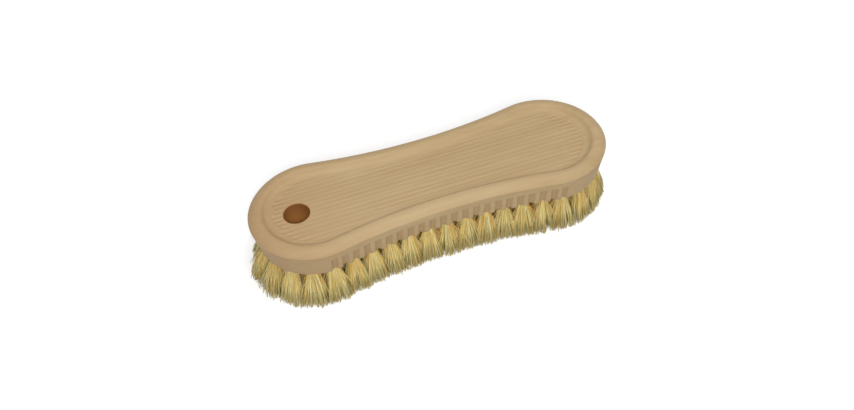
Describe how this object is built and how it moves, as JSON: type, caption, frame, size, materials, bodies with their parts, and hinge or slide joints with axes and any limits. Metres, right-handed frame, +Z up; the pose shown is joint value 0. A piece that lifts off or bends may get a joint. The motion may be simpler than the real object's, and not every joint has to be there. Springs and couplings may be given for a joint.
{
  "type": "scrub brush",
  "caption": "Hand scrub brush: a waisted wooden block with a coved rim, reeded top, fluted sides and a hanging hole, filled with stapled tufts of stiff plant fibre.",
  "frame": {"origin": "on the standing plane at the fibre tips, under the middle of the block", "axes": "+X along the block, away from the hanging hole; +Z up out of the reeded top; the sides face +Y and -Y"},
  "size_m": [0.2039, 0.0687, 0.0401],
  "materials": {
    "beech": "raw, sanded, unvarnished pale beech",
    "fibre": "stiff natural plant fibre, pale cream yellow",
    "wire": "drawn steel wire"
  },
  "bodies": {
    "root": {"block": "beech", "tuft_row_01": "fibre", "tuft_row_02": "fibre", "tuft_row_03": "fibre", "tuft_row_04": "fibre", "tuft_row_05": "fibre", "tuft_row_06": "fibre", "tuft_row_07": "fibre", "tuft_row_08": "fibre", "tuft_row_09": "fibre", "tuft_row_10": "fibre", "tuft_row_11": "fibre", "tuft_row_12": "fibre", "tuft_row_13": "fibre", "tuft_row_14": "fibre", "tuft_row_15": "fibre", "tuft_row_16": "fibre", "tuft_row_17": "fibre", "staple_row_01": "wire", "staple_row_02": "wire", "staple_row_03": "wire", "staple_row_04": "wire", "staple_row_05": "wire", "staple_row_06": "wire", "staple_row_07": "wire", "staple_row_08": "wire", "staple_row_09": "wire", "staple_row_10": "wire", "staple_row_11": "wire", "staple_row_12": "wire", "staple_row_13": "wire", "staple_row_14": "wire", "staple_row_15": "wire", "staple_row_16": "wire", "staple_row_17": "wire"}
  },
  "joints": []
}
